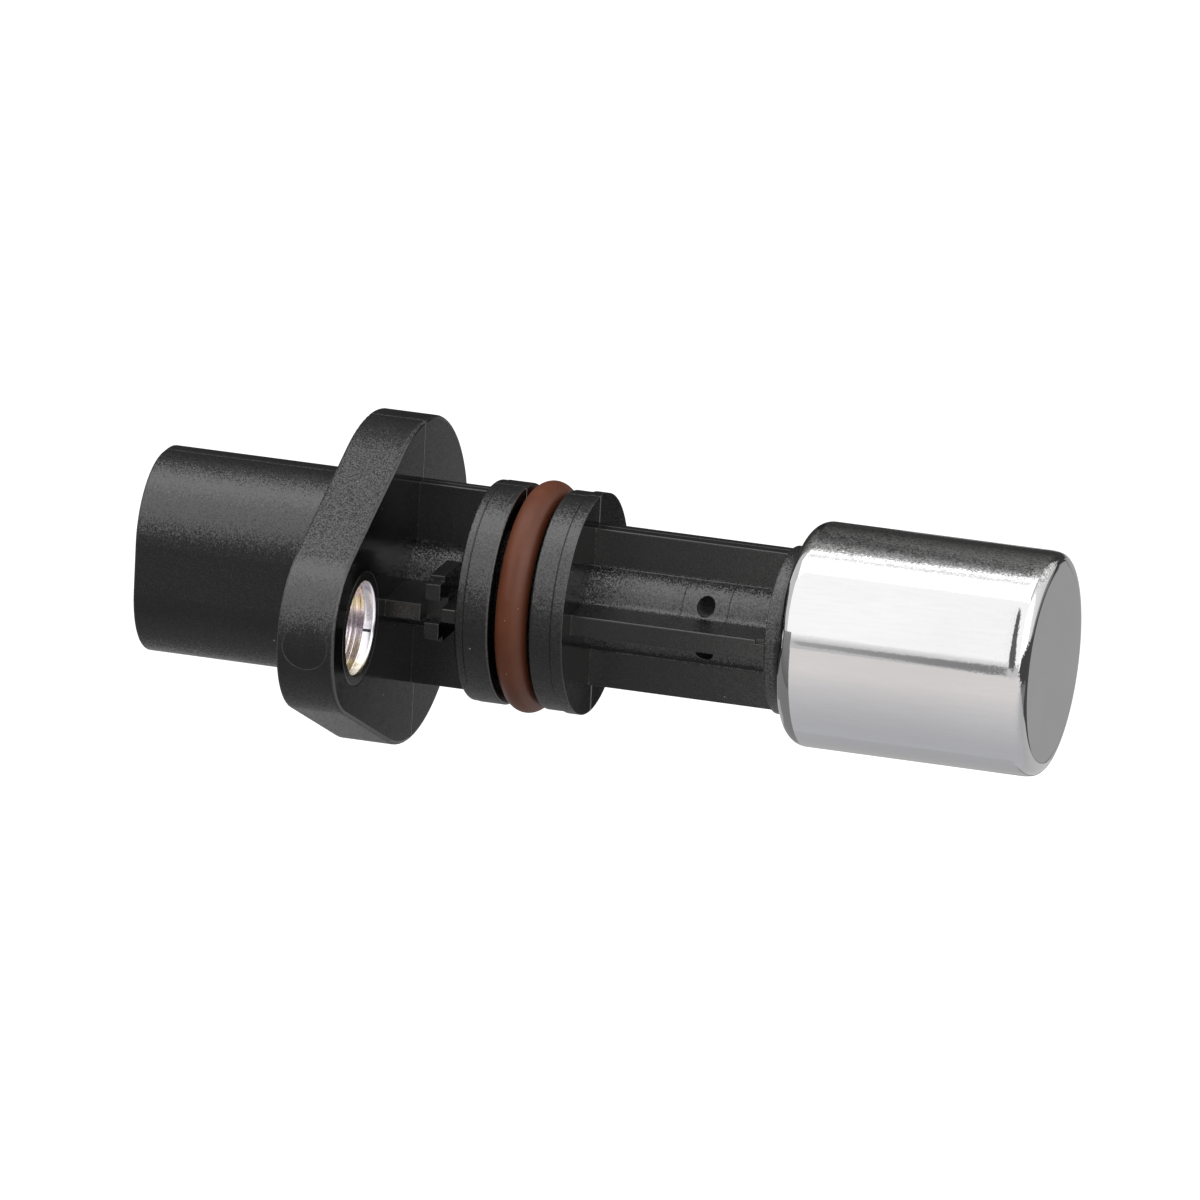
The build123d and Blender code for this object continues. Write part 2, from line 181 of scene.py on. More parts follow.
def ramp(tree, value, low, high, start=0.0, end=1.0, smooth=True):
    """Value carried from low..high to start..end, and held outside that."""
    kind = "SMOOTHSTEP" if smooth else "LINEAR"
    inputs = {"Value": value, "From Min": low, "From Max": high, "To Min": start, "To Max": end}
    return put(tree, "ShaderNodeMapRange", inputs, interpolation_type=kind, clamp=True).outputs["Result"]


def tint(tree, share, first, second):
    """A mix of two colours by a share that changes over the surface."""
    inputs = {"Factor": share, 6: first, 7: second}
    return put(tree, "ShaderNodeMix", inputs, data_type="RGBA").outputs[2]


def colour(red, green, blue):
    """A colour from linear red, green and blue."""
    return (red, green, blue, 1.0)


def add_object(name, data):
    """A new object in the scene, at the origin."""
    thing = bpy.data.objects.new(name, data)
    bpy.context.scene.collection.objects.link(thing)
    return thing


# ---- studio ----


def make_camera():
    """The camera at the photograph's angle, with its slight roll."""
    azimuth, elevation, roll = (math.radians(a) for a in (CAMERA_AZIMUTH, CAMERA_ELEVATION, CAMERA_ROLL))
    back = Vector((
        math.sin(azimuth) * math.cos(elevation),
        -math.cos(azimuth) * math.cos(elevation),
        math.sin(elevation),
    ))
    level = Vector((math.cos(azimuth), math.sin(azimuth), 0))
    upright = back.cross(level)
    aim = level * AIM_RIGHT_MM * MM + upright * AIM_UP_MM * MM
    right = level * math.cos(roll) + upright * math.sin(roll)
    up = upright * math.cos(roll) - level * math.sin(roll)
    data = bpy.data.cameras.new("studio_camera")
    data.lens = CAMERA_LENS
    data.sensor_width = 36.0
    data.clip_start = 0.01
    data.clip_end = 50.0
    camera = add_object("studio_camera", data)
    camera.matrix_world = Matrix.LocRotScale(
        aim + back * CAMERA_DISTANCE,
        Matrix((right, up, back)).transposed().to_quaternion(),
        None,
    )
    bpy.context.scene.camera = camera


def seen_directly(tree):
    """1 for camera, glossy and transmission rays, and 0 for the rest."""
    path = put(tree, "ShaderNodeLightPath")
    gloss = calc(tree, "MAXIMUM", path.outputs["Is Glossy Ray"], path.outputs["Is Transmission Ray"])
    return calc(tree, "MAXIMUM", gloss, path.outputs["Is Camera Ray"])


def make_world():
    """White surroundings that light the object softly."""
    world = bpy.data.worlds.new("studio_room")
    world.use_nodes = True
    bpy.context.scene.world = world
    tree = world.node_tree
    shine = tree.nodes["Background"]
    shine.inputs["Color"].default_value = colour(1, 1, 1)
    strength = ramp(tree, seen_directly(tree), 0, 1, ROOM_LIGHT, 1.0, smooth=False)
    tree.links.new(strength, shine.inputs["Strength"])


def make_lamp(name, centre, aim, size, radiance):
    """A soft rectangular lamp. Radiance is how bright its face looks, where 1 is white."""
    data = bpy.data.lights.new(name, "AREA")
    data.shape = "RECTANGLE"
    data.size, data.size_y = size
    data.energy = radiance * math.pi * size[0] * size[1]
    lamp = add_object(name, data)
    lamp.location = Vector(centre)
    lamp.rotation_euler = (Vector(aim) - Vector(centre)).to_track_quat("-Z", "Y").to_euler()
    lamp.visible_camera = False


def glowing(name):
    """A material that only glows, with its tree and the inputs of its glow."""
    material = bpy.data.materials.new(name)
    material.use_nodes = True
    tree = material.node_tree
    tree.nodes.remove(tree.nodes["Principled BSDF"])
    glow = tree.nodes.new("ShaderNodeEmission")
    tree.links.new(glow.outputs[0], tree.nodes["Material Output"].inputs["Surface"])
    return material, tree, glow.inputs


def emitter(name, level):
    """An even surface that shows at a level of its own."""
    material, _, glow = glowing(name)
    glow["Color"].default_value = colour(1, 1, 1)
    glow["Strength"].default_value = level
    return material


def graded_emitter(name, low, high, low_level, high_level, low_tone, high_tone, axis="Z"):
    """A surface whose glow changes steadily along one axis, from low to high in metres."""
    material, tree, glow = glowing(name)
    along = split(tree, put(tree, "ShaderNodeTexCoord").outputs["Object"])[axis]
    share = ramp(tree, along, low, high, smooth=False)
    level = ramp(tree, share, 0, 1, low_level, high_level, smooth=False)
    tree.links.new(tint(tree, share, colour(*low_tone), colour(*high_tone)), glow["Color"])
    tree.links.new(level, glow["Strength"])
    return material


def make_card(name, points, faces, material):
    """A studio card that only polished surfaces see."""
    mesh = bpy.data.meshes.new(name)
    mesh.from_pydata(points, [], faces)
    mesh.materials.append(material)
    card = add_object(name, mesh)
    card.visible_camera = False
    card.visible_diffuse = False
    card.visible_shadow = False


def make_panel(name, corners, material):
    """A flat card with the given corners."""
    make_card(name, corners, [tuple(range(len(corners)))], material)


def make_upright(name, across, y, heights, material):
    """An upright card across the view, from one X to another and between two heights."""
    left, right = across
    low, high = heights
    make_panel(name, [(left, y, low), (right, y, low), (right, y, high), (left, y, high)], material)


def make_flat(name, points, z, material):
    """A level card with its corners at points of (x, y)."""
    make_panel(name, [(x, y, z) for x, y in points], material)


def make_side(name, points, x, material):
    """A card that faces the sensor's tip, with its corners at points of (y, z)."""
    make_panel(name, [(x, y, z) for y, z in points], material)


def make_bent_card(name, edges, radius, material):
    """A card bent round the sensor's axis. Each of its edges is an angle in degrees, from the viewer's side
    up over the top, and the two ends of the card along X there."""
    points = []
    for first, second in zip(edges, edges[1:]):
        steps = max(1, round(abs(second[0] - first[0]) / 6))
        for i in range(steps + 1):
            angle, low, high = (a + (b - a) * i / steps for a, b in zip(first, second))
            y = -radius * math.cos(math.radians(angle))
            z = radius * math.sin(math.radians(angle))
            points += [(low, y, z), (high, y, z)]
    rows = len(points) // 2 - 1
    make_card(name, points, [(2 * i, 2 * i + 1, 2 * i + 3, 2 * i + 2) for i in range(rows)], material)


def make_floor():
    """A pale floor under the object. It shows white and keeps the object's shadow."""
    mesh = bpy.data.meshes.new("studio_floor")
    half = FLOOR_SPAN / 2
    corners = [(-half, -half), (half, -half), (half, half), (-half, half)]
    mesh.from_pydata([(x, y, -FLOOR_DROP) for x, y in corners], [], [(0, 1, 2, 3)])
    material = bpy.data.materials.new("studio_floor")
    material.use_nodes = True
    tree = material.node_tree
    paint = tree.nodes["Principled BSDF"]
    paint.inputs["Base Color"].default_value = colour(0.45, 0.45, 0.45)
    paint.inputs["Roughness"].default_value = 0.9
    paint.inputs["Specular IOR Level"].default_value = 0.0
    paint.inputs["Emission Color"].default_value = colour(1, 1, 1)
    lift = calc(tree, "MULTIPLY", seen_directly(tree), FLOOR_GLOW)
    tree.links.new(lift, paint.inputs["Emission Strength"])
    mesh.materials.append(material)
    floor = add_object("studio_floor", mesh)


def make_studio():
    """Overhead softbox, front diffuser, and the cards that shape what the sensor reflects."""
    make_world()
    make_floor()
    make_lamp("overhead_softbox", (-0.25, 0.070, 0.8), (-0.25, 0.070, 0.0), (0.95, 0.42), 1.6)
    make_lamp("front_diffuser", (-0.15, -0.46, 0.48), (-0.15, 0.195, -0.31), (1.6, 0.94), 0.85)
    line = emitter("line_card", 0.10)
    shade = emitter("shade_card", 0.20)
    table = emitter("table_card", 0.34)
    pale = emitter("low_card", 0.42)
    grey = emitter("end_card", 0.48)
    patch = emitter("ear_card", 0.60)
    soft = emitter("soft_card", 0.74)
    streak = emitter("streak_card", 1.7)
    white = emitter("side_panel", 2.2)
    even, cool, warm, creamy = (1, 1, 1), (0.96, 0.97, 1.0), (1.0, 0.965, 0.94), (1, 1, 0.98)
    black = graded_emitter("flange_card", 0.070, 0.088, 0.30, 0.02, even, even, "X")
    dim = graded_emitter("dim_card", -0.1, 0.027, 0.20, 0.40, even, even)
    rising = graded_emitter("rising_card", 0.08, 0.60, 0.06, 0.60, creamy, even)
    dusk = graded_emitter("dusk_card", 0.08, 0.60, 0.03, 0.36, even, even)
    under = graded_emitter("under_card", -0.060, -0.018, 0.80, 1.27, cool, warm)
    turned = graded_emitter("turned_card", 0.004, 0.044, 0.74, 0.55, cool, even, "Y")
    band = graded_emitter("band_card", -0.002, 0.026, 0.70, 0.34, even, even, "X")
    glow = graded_emitter("glow_card", 0.0187, 0.036, 0.95, 1.60, even, even)
    wall = graded_emitter("wall_card", 0.10, 1.20, 1.50, 0.70, even, even, "Y")

    # Seen in the moulding. Cards that overlap lie 0.5 to 2 mm apart
    make_flat("table_card", [(-2, -2), (2, -2), (2, 2), (-2, 2)], -0.098, table)
    make_upright("back_card", (-0.35, 0.17), 0.251, (-0.1, 0.60), rising)
    make_upright("land_top_card", (-0.084, -0.045), 0.2505, (0.0, 0.60), dusk)
    make_upright("flange_card", (-0.02, 0.116), 0.25, (-0.1, 0.0), black)
    flange_floor = [(0.078, 0.15), (0.116, 0.15), (0.116, 0.25), (0.080, 0.25)]
    make_flat("flange_floor_card", flange_floor, -0.097, line)
    make_upright("low_front_card", (-0.30, 0.004), -0.10, (-0.1, 0.027), dim)
    make_flat("ear_card", [(-0.10, 0.05), (-0.053, 0.05), (-0.060, 0.24), (-0.12, 0.24)], -0.097, patch)

    # Seen in the cap's end face and lower half
    make_upright("end_card", (0.116, 0.150), 0.25, (-0.1, -0.03), grey)
    near = NEAR_CARD_RADIUS
    make_bent_card("cap_under_card", [(-96, 0.022, 0.052), (1, 0.022, 0.052)], near, under)
    make_bent_card("cap_turned_card", [(-140, 0.022, 0.052), (-96, 0.022, 0.052)], near, turned)
    cap_floor = [(-0.004, 0.09), (0.028, 0.09), (-0.012, 0.25), (-0.042, 0.25)]
    make_flat("cap_floor_card", cap_floor, -0.097, pale)
    make_upright("cap_low_card", (-0.048, -0.012), 0.249, (-0.1, -0.05), pale)
    low_round = [(-105, 0.052, 0.26), (-43, 0.052, 0.26), (-24, 0.052, 0.20), (1, 0.052, 0.12)]
    make_bent_card("cap_round_card", low_round, near, under)
    back_round = [(-151, 0.062, 0.10), (-142, 0.058, 0.14), (-105, 0.052, 0.26)]
    make_bent_card("cap_round_back_card", back_round, near, soft)
    make_upright("cap_rim_card", (0.040, 0.0735), 0.06, (-0.032, 0.005), grey)

    # Seen in the cap's upper half and the corner of its tip
    gap = [(8, -0.026, 0.10), (24, -0.026, 0.088), (43, -0.026, 0.052), (62, -0.026, 0.03), (70, -0.026, 0.0)]
    make_bent_card("cap_gap_card", gap, 0.40, shade)
    make_side("cap_wall_card", [(0.12, -0.1), (1.3, -0.1), (1.3, 1.0), (0.12, 1.0)], 0.5, wall)
    make_side("cap_side_panel", [(-0.6, 0.0), (0.12, 0.0), (0.12, 1.0), (-0.6, 1.0)], 0.5, white)
    above = [(-0.33, 0.005), (-0.25, 0.03), (-0.20, 0.058), (-0.158, 0.068), (-0.07, 0.045), (0.04, 0.016)]
    beyond = [(0.15, -0.023), (0.25, -0.055), (0.25, -0.096)]
    below = [(0.13, -0.072), (0.02, -0.053), (-0.08, -0.045), (-0.22, -0.04)]
    make_side("cap_horizon_card", above + beyond + below, 0.30, line)
    corner = [(0.150, -0.098), (0.30, -0.098), (0.30, -0.055)]
    corner += [(0.234, -0.062), (0.19, -0.055), (0.150, -0.05)]
    make_panel("cap_corner_card", [(x, 0.25, z) for x, z in corner], line)
    make_flat("cap_spot_card", [(0.150, 0.185), (0.26, 0.175), (0.28, 0.25), (0.150, 0.25)], -0.096, line)
    top_streak = [(-0.20, 0.076), (0.02, 0.080), (0.02, 0.124), (-0.20, 0.118)]
    make_flat("cap_streak_card", top_streak, 0.5, streak)
    make_upright("horizon_glow", (-0.02, 0.032), -0.1505, (-0.004, 0.037), glow)
    strip = [(-0.002, 0.0110), (0.0262, 0.0010), (0.0262, 0.0250), (0.012, 0.0205), (-0.002, 0.0190)]
    make_panel("horizon_strip", [(x, -0.15, z) for x, z in strip], band)


# ---- shader groups ----


def new_group(name, inputs, outputs):
    """An empty shader node group with the named sockets, and its input and output nodes."""
    group = bpy.data.node_groups.new(name, "ShaderNodeTree")
    for label, kind, value in inputs:
        socket = group.interface.new_socket(name=label, in_out="INPUT", socket_type=kind)
        if value is not None:
            socket.default_value = value
    for label, kind in outputs:
        group.interface.new_socket(name=label, in_out="OUTPUT", socket_type=kind)
    return group, group.nodes.new("NodeGroupInput").outputs, group.nodes.new("NodeGroupOutput").inputs


def make_moulded_grain():
    """The pitted skin that a spark-eroded mould leaves on plastic, and a mask of its crests, which the
    housing paints lighter as painted glints.
    """
    group, given, made = new_group(
        "moulded_grain",
        [
            ("Place", "NodeSocketVector", None),
            ("Cell mm", "NodeSocketFloat", 0.2),
            ("Sharpness", "NodeSocketFloat", 0.5),
        ],
        [("Height", "NodeSocketFloat"), ("Glint", "NodeSocketFloat")],
    )
    density = calc(group, "DIVIDE", 1.0, given["Cell mm"])
    cells = {"Vector": given["Place"], "Scale": density}
    pits = put(group, "ShaderNodeTexVoronoi", cells, feature="SMOOTH_F1")
    pits.inputs["Smoothness"].default_value = 0.6
    noise = put(group, "ShaderNodeTexNoise", {**cells, "Detail": 2.0, "Roughness": 0.6})
    pitted = calc(group, "MULTIPLY", pits.outputs["Distance"], given["Sharpness"])
    smooth_share = calc(group, "SUBTRACT", 1.0, given["Sharpness"])
    rolling = calc(group, "MULTIPLY", noise.outputs["Fac"], smooth_share)
    group.links.new(calc(group, "ADD", pitted, rolling), made["Height"])
    group.links.new(ramp(group, noise.outputs["Fac"], 0.50, 0.72), made["Glint"])
    return group


def make_flecks():
    """Small facets that each lean their own way, as glass fibres and pits do under a moulded skin."""
    group, given, made = new_group(
        "leaning_flecks",
        [
            ("Place", "NodeSocketVector", None),
            ("Normal", "NodeSocketVector", None),
            ("Cell mm", "NodeSocketFloat", 0.16),
            ("Lean", "NodeSocketFloat", 0.2),
            ("Stray", "NodeSocketFloat", 0.0),
        ],
        [("Normal", "NodeSocketVector")],
    )
    density = calc(group, "DIVIDE", 1.0, given["Cell mm"])
    cells = put(group, "ShaderNodeTexVoronoi", {"Vector": given["Place"], "Scale": density})
    centred = vector_calc(group, "SUBTRACT", cells.outputs["Color"], (0.5, 0.5, 0.5))
    stray = calc(group, "POWER", calc(group, "MULTIPLY", length(group, centred), 1.8), given["Stray"])
    leaning = scaled(group, centred, calc(group, "MULTIPLY", given["Lean"], stray))
    turned = vector_calc(group, "ADD", given["Normal"], leaning)
    group.links.new(vector_calc(group, "NORMALIZE", turned), made["Normal"])
    return group


def make_edge_round():
    """Edges eased by a small radius, and a mask of where they are."""
    group, given, made = new_group(
        "edge_round",
        [("Radius", "NodeSocketFloat", 0.00012)],
        [("Normal", "NodeSocketVector"), ("Edge", "NodeSocketFloat")],
    )
    eased = put(group, "ShaderNodeBevel", {"Radius": given["Radius"]}, samples=6)
    facing = put(group, "ShaderNodeNewGeometry").outputs["Normal"]
    turned = put(group, "ShaderNodeVectorMath", {0: eased.outputs[0], 1: facing}, operation="DOT_PRODUCT")
    reach = {"Distance": 0.0005}
    inward = put(group, "ShaderNodeAmbientOcclusion", reach, inside=True, only_local=True, samples=6)
    outer = ramp(group, inward.outputs["AO"], 1.0, 0.7, smooth=False)
    normals = {"Factor": outer, 4: facing, 5: eased.outputs[0]}
    normal = put(group, "ShaderNodeMix", normals, data_type="VECTOR")
    bent = ramp(group, turned.outputs["Value"], 0.995, 0.85)
    group.links.new(normal.outputs[1], made["Normal"])
    group.links.new(calc(group, "MULTIPLY", bent, outer), made["Edge"])
    return group


def make_dust():
    """Sparse specks of pale dust."""
    group, given, made = new_group(
        "dust_specks",
        [
            ("Place", "NodeSocketVector", None),
            ("Spacing mm", "NodeSocketFloat", 1.5),
            ("Size", "NodeSocketFloat", 0.05),
        ],
        [("Speck", "NodeSocketFloat")],
    )
    density = calc(group, "DIVIDE", 1.0, given["Spacing mm"])
    cells = put(group, "ShaderNodeTexVoronoi", {"Vector": given["Place"], "Scale": density})
    small = calc(group, "LESS_THAN", cells.outputs["Distance"], given["Size"])
    parts = put(group, "ShaderNodeSeparateColor", {"Color": cells.outputs["Color"]})
    rare = calc(group, "GREATER_THAN", parts.outputs[0], 0.6)
    group.links.new(calc(group, "MULTIPLY", small, rare), made["Speck"])
    return group


def make_drift():
    """Slow uneven tone, as from the flow of plastic or a wiped surface."""
    group, given, made = new_group(
        "tone_drift",
        [
            ("Place", "NodeSocketVector", None),
            ("Patch mm", "NodeSocketFloat", 8.0),
            ("Stretch", "NodeSocketVector", (1, 1, 1)),
        ],
        [("Tone", "NodeSocketFloat")],
    )
    stretched = vector_calc(group, "MULTIPLY", given["Place"], given["Stretch"])
    density = calc(group, "DIVIDE", 1.0, given["Patch mm"])
    waves = {"Vector": stretched, "Scale": density, "Detail": 4.0, "Roughness": 0.5}
    noise = put(group, "ShaderNodeTexNoise", waves)
    group.links.new(ramp(group, noise.outputs["Fac"], 0.3, 0.7, smooth=False), made["Tone"])
    return group


def make_seam():
    """The line that a mould leaves on its parting plane y = 0."""
    group, given, made = new_group(
        "mould_seam",
        [("Place", "NodeSocketVector", None), ("Width mm", "NodeSocketFloat", 0.12)],
        [("Line", "NodeSocketFloat"), ("Foot", "NodeSocketFloat")],
    )
    side = split(group, given["Place"])["Y"]
    off = calc(group, "ABSOLUTE", side)
    group.links.new(ramp(group, off, 0.0, given["Width mm"], 1.0, 0.0), made["Line"])
    behind = calc(group, "SUBTRACT", side, calc(group, "MULTIPLY", given["Width mm"], 1.6))
    foot = calc(group, "DIVIDE", calc(group, "ABSOLUTE", behind), given["Width mm"])
    group.links.new(ramp(group, foot, 0.0, 1.0, 1.0, 0.0), made["Foot"])
    return group


GROUPS = {
    "grain": make_moulded_grain(),
    "flecks": make_flecks(),
    "edge": make_edge_round(),
    "dust": make_dust(),
    "drift": make_drift(),
    "seam": make_seam(),
}


def use(tree, name, inputs):
    """Places a shader group and returns its outputs."""
    return put(tree, "ShaderNodeGroup", inputs, node_tree=GROUPS[name]).outputs


def new_finish(name):
    """A material with its tree, its Principled shader, and the surface's place in millimetres."""
    material = bpy.data.materials.new(name)
    material.use_nodes = True
    tree = material.node_tree
    shader = tree.nodes["Principled BSDF"]
    coordinates = put(tree, "ShaderNodeTexCoord").outputs["Object"]
    return material, tree, shader, scaled(tree, coordinates, 1 / MM)


def relief(tree, height, depth_mm, normal=None):
    """A normal from a height pattern, where the pattern's 1 stands depth_mm above its 0."""
    inputs = {"Height": height, "Distance": depth_mm * MM, "Strength": 1.0}
    if normal is not None:
        inputs["Normal"] = normal
    return put(tree, "ShaderNodeBump", inputs).outputs[0]


def off_axis(tree, place):
    """Distance from the sensor's axis."""
    return length(tree, vector_calc(tree, "MULTIPLY", place, (0, 1, 1)))


def between(tree, value, low, high, blur=LINE_BLUR_MM):
    """1 between two values and 0 outside them."""
    above = ramp(tree, value, low - blur, low + blur)
    below = ramp(tree, value, high - blur, high + blur, 1.0, 0.0)
    return calc(tree, "MULTIPLY", above, below)


def line_at(tree, value, middle, width):
    """1 on a fine line where a value is reached, and 0 off it."""
    return between(tree, value, middle - width / 2, middle + width / 2)


def line_pair(tree, value, middles, width):
    """Two fine lines of one width."""
    return calc(tree, "ADD", *[line_at(tree, value, middle, width) for middle in middles])


# ---- finishes ----


def housing_finish():
    """Black glass-filled moulding: spark-eroded grain, sharp on the round core and calm on the fins. Its
    grain's crests, its edges and its seam are painted lighter as painted highlights.
    """
    material, tree, shader, place = new_finish("housing_plastic")
    shader.inputs["Specular IOR Level"].default_value = 0.80
    along = split(tree, place)
    radius = off_axis(tree, place)
    edge = use(tree, "edge", {"Radius": 0.00016})
    seam = use(tree, "seam", {"Place": place, "Width mm": 0.13})
    on_stem = between(tree, along["X"], *STEM_MM, 0.05)
    on_neck = between(tree, along["X"], *NECK_MM, 0.02)
    slim = calc(tree, "MAXIMUM", on_stem, on_neck)
    core = calc(tree, "MULTIPLY", slim, ramp(tree, radius, *CORE_EDGE_MM, 1.0, 0.0))
    height = calc(tree, "ABSOLUTE", along["Z"])
    rib_top = calc(tree, "MULTIPLY", on_stem, between(tree, height, *RIB_TOP_MM, 0.01))
    core = calc(tree, "MAXIMUM", core, rib_top)
    facing = split(tree, put(tree, "ShaderNodeNewGeometry").outputs["Normal"])
    to_tip = ramp(tree, facing["X"], 0.85, 0.95)
    web = calc(tree, "MULTIPLY", slim, calc(tree, "SUBTRACT", 1.0, core))
    coarse = use(tree, "grain", {"Place": place, "Cell mm": 0.15, "Sharpness": 0.2})
    fine = use(tree, "grain", {"Place": place, "Cell mm": 0.20, "Sharpness": 0.2})
    drift = use(tree, "drift", {"Place": place, "Patch mm": 7.0, "Stretch": (0.5, 1, 1)})
    specks = use(tree, "dust", {"Place": place, "Spacing mm": 2.2, "Size": 0.035})

    calm = calc(tree, "MULTIPLY", ramp(tree, web, 0, 1, 1.0, 0.35), ramp(tree, to_tip, 0, 1, 1.0, 0.15))
    fine_height = calc(tree, "MULTIPLY", fine["Height"], calm)
    relief_fine = relief(tree, fine_height, 0.015, edge["Normal"])
    core_height = calc(tree, "MULTIPLY", coarse["Height"], core)
    relief_core = relief(tree, core_height, 0.011, relief_fine)
    steps = line_pair(tree, along["X"], LAND_LINES_MM, LAND_LINE_WIDTH_MM)
    steps = calc(tree, "MULTIPLY", steps, calc(tree, "GREATER_THAN", radius, LAND_RIM_MM))
    insert = line_pair(tree, along["X"], INSERT_LINES_MM, INSERT_LINE_WIDTH_MM)
    insert = calc(tree, "MULTIPLY", insert, core)
    from_pin = vector_calc(tree, "SUBTRACT", place, EJECTOR_MM)
    pin_radius = length(tree, vector_calc(tree, "MULTIPLY", from_pin, (1, 0, 1)))
    ear_end = ramp(tree, along["Y"], *EAR_END_MM, smooth=False)
    pin_ring = line_at(tree, pin_radius, EJECTOR_RADIUS_MM, EJECTOR_LINE_WIDTH_MM)
    pin_ring = calc(tree, "MULTIPLY", pin_ring, ear_end)
    lines = calc(tree, "ADD", steps, insert)
    ridge = calc(tree, "SUBTRACT", seam["Line"], calc(tree, "MULTIPLY", seam["Foot"], 0.6))
    relief_lines = relief(tree, calc(tree, "SUBTRACT", ridge, lines), 0.045, relief_core)
    lean = ramp(tree, web, 0, 1, 0.30, 0.08)
    lean = calc(tree, "MULTIPLY_ADD", core, 0.16, lean)
    lean = calc(tree, "MULTIPLY", lean, ramp(tree, to_tip, 0, 1, 1.0, 0.06))
    flecked = use(tree, "flecks", {"Place": place, "Normal": relief_lines, "Cell mm": 0.10, "Lean": lean})
    tree.links.new(flecked["Normal"], shader.inputs["Normal"])

    base = tint(tree, drift["Tone"], colour(0.0026, 0.0026, 0.0026), colour(0.0044, 0.0044, 0.0043))
    # Painted glints: the grain's crests are painted lighter, less on faces that look towards the tip.
    painted_glint = calc(tree, "MULTIPLY", fine["Glint"], ramp(tree, to_tip, 0, 1, 0.5, 0.1))
    painted_glints = tint(tree, painted_glint, base, colour(0.012, 0.012, 0.012))
    # Painted edge highlights: convex edges are painted lighter, standing in for the light that rounded edges
    # catch.
    painted_edge_light = tint(tree, calc(tree, "MULTIPLY", edge["Edge"], 0.5), painted_glints, colour(0.05, 0.05, 0.05))
    # The seam is a real mould line, and its lighter colour is a painted highlight, weaker on faces towards
    # the tip.
    flash = calc(tree, "MULTIPLY", seam["Line"], ramp(tree, to_tip, 0, 1, 0.35, 0.08))
    seam_painted_light = tint(tree, flash, painted_edge_light, colour(0.05, 0.05, 0.05))
    lined = tint(tree, calc(tree, "MULTIPLY", lines, 0.8), seam_painted_light, colour(0.002, 0.002, 0.002))
    ringed = tint(tree, calc(tree, "MULTIPLY", pin_ring, 0.8), lined, colour(0.05, 0.05, 0.048))
    dusty = tint(tree, calc(tree, "MULTIPLY", specks["Speck"], 0.8), ringed, colour(0.5, 0.5, 0.48))
    tree.links.new(dusty, shader.inputs["Base Color"])
    rough = calc(tree, "MULTIPLY_ADD", fine["Glint"], -0.04, 0.29)
    rough = calc(tree, "MULTIPLY_ADD", drift["Tone"], 0.04, rough)
    rough = calc(tree, "MULTIPLY_ADD", to_tip, -0.19, rough)
    in_ring = ramp(tree, pin_radius, EJECTOR_RADIUS_MM - 0.1, EJECTOR_RADIUS_MM, 1.0, 0.0)
    in_ring = calc(tree, "MULTIPLY", in_ring, ear_end)
    rough = calc(tree, "MULTIPLY_ADD", in_ring, -0.09, rough)
    in_hole = calc(tree, "MULTIPLY", on_stem, ramp(tree, radius, *PIN_HOLE_EDGE_MM, 1.0, 0.0))
    rough = calc(tree, "MAXIMUM", rough, calc(tree, "MULTIPLY", in_hole, 0.95))
    tree.links.new(rough, shader.inputs["Roughness"])
    return material


def carrier_finish():
    """Black moulding of the inner carrier, grainy on the collar that shows behind the cap, with painted
    highlights on its edges.
    """
    material, tree, shader, place = new_finish("carrier_plastic")
    shader.inputs["Specular IOR Level"].default_value = 0.9
    edge = use(tree, "edge", {"Radius": 0.00016})
    fine = use(tree, "grain", {"Place": place, "Cell mm": 0.20, "Sharpness": 0.2})
    drift = use(tree, "drift", {"Place": place, "Patch mm": 5.0, "Stretch": (1, 1, 1)})
    grained = relief(tree, fine["Height"], 0.012, edge["Normal"])
    flecked = use(tree, "flecks", {"Place": place, "Normal": grained, "Cell mm": 0.10, "Lean": 0.45})
    tree.links.new(flecked["Normal"], shader.inputs["Normal"])
    base = tint(tree, drift["Tone"], colour(0.004, 0.004, 0.0038), colour(0.008, 0.008, 0.0075))
    # Painted edge highlights: the carrier's convex edges are painted lighter.
    painted_edge_light = tint(tree, calc(tree, "MULTIPLY", edge["Edge"], 0.8), base, colour(0.10, 0.10, 0.098))
    tree.links.new(painted_edge_light, shader.inputs["Base Color"])
    rough = calc(tree, "MULTIPLY_ADD", drift["Tone"], 0.05, 0.28)
    buried = ramp(tree, off_axis(tree, place), *CARRIER_BURIED_MM, 0.95, 0.0)
    tree.links.new(calc(tree, "MAXIMUM", rough, buried), shader.inputs["Roughness"])
    return material


def rubber_finish():
    """Satin reddish brown seal rubber with a fine bloom."""
    material, tree, shader, place = new_finish("seal_rubber")
    shader.inputs["Specular IOR Level"].default_value = 0.28
    fine = use(tree, "grain", {"Place": place, "Cell mm": 0.12, "Sharpness": 0.2})
    drift = use(tree, "drift", {"Place": place, "Patch mm": 3.0, "Stretch": (1, 1, 1)})
    specks = use(tree, "dust", {"Place": place, "Spacing mm": 1.1, "Size": 0.05})
    tree.links.new(relief(tree, fine["Height"], 0.006), shader.inputs["Normal"])
    base = tint(tree, drift["Tone"], colour(0.135, 0.038, 0.017), colour(0.172, 0.052, 0.023))
    dusty = tint(tree, calc(tree, "MULTIPLY", specks["Speck"], 0.7), base, colour(0.5, 0.42, 0.38))
    tree.links.new(dusty, shader.inputs["Base Color"])
    tree.links.new(calc(tree, "MULTIPLY_ADD", drift["Tone"], 0.08, 0.38), shader.inputs["Roughness"])
    return material


